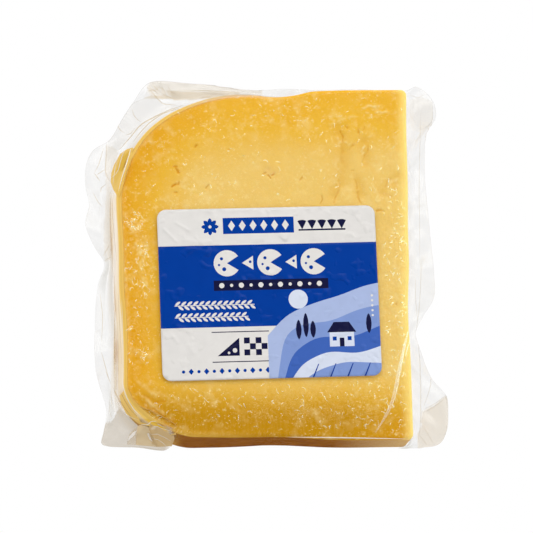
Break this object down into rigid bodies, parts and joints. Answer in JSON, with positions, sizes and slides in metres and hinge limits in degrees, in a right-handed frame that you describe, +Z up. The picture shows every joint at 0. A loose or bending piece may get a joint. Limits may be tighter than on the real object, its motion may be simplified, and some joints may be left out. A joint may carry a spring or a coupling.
{
  "type": "vacuum packed parmesan chunk",
  "caption": "Wedge-shaped chunk of hard cheese in a clear vacuum pouch with a crumpled film margin and a rounded paper label on its face, lying flat.",
  "frame": {"origin": "on the ground under the middle of the pack's box, as it lies on its back", "axes": "+Z up out of the labelled face, +Y towards the label's top edge, +X from the rim to the trimmed side"},
  "size_m": [0.111, 0.1148, 0.0284],
  "materials": {
    "pouch": "clear glossy film drawn tight over yellow cheese",
    "label": "satin coated label paper, white with blue fields"
  },
  "bodies": {
    "root": {"vacuum_pouch": "pouch", "label": "label"}
  },
  "joints": []
}
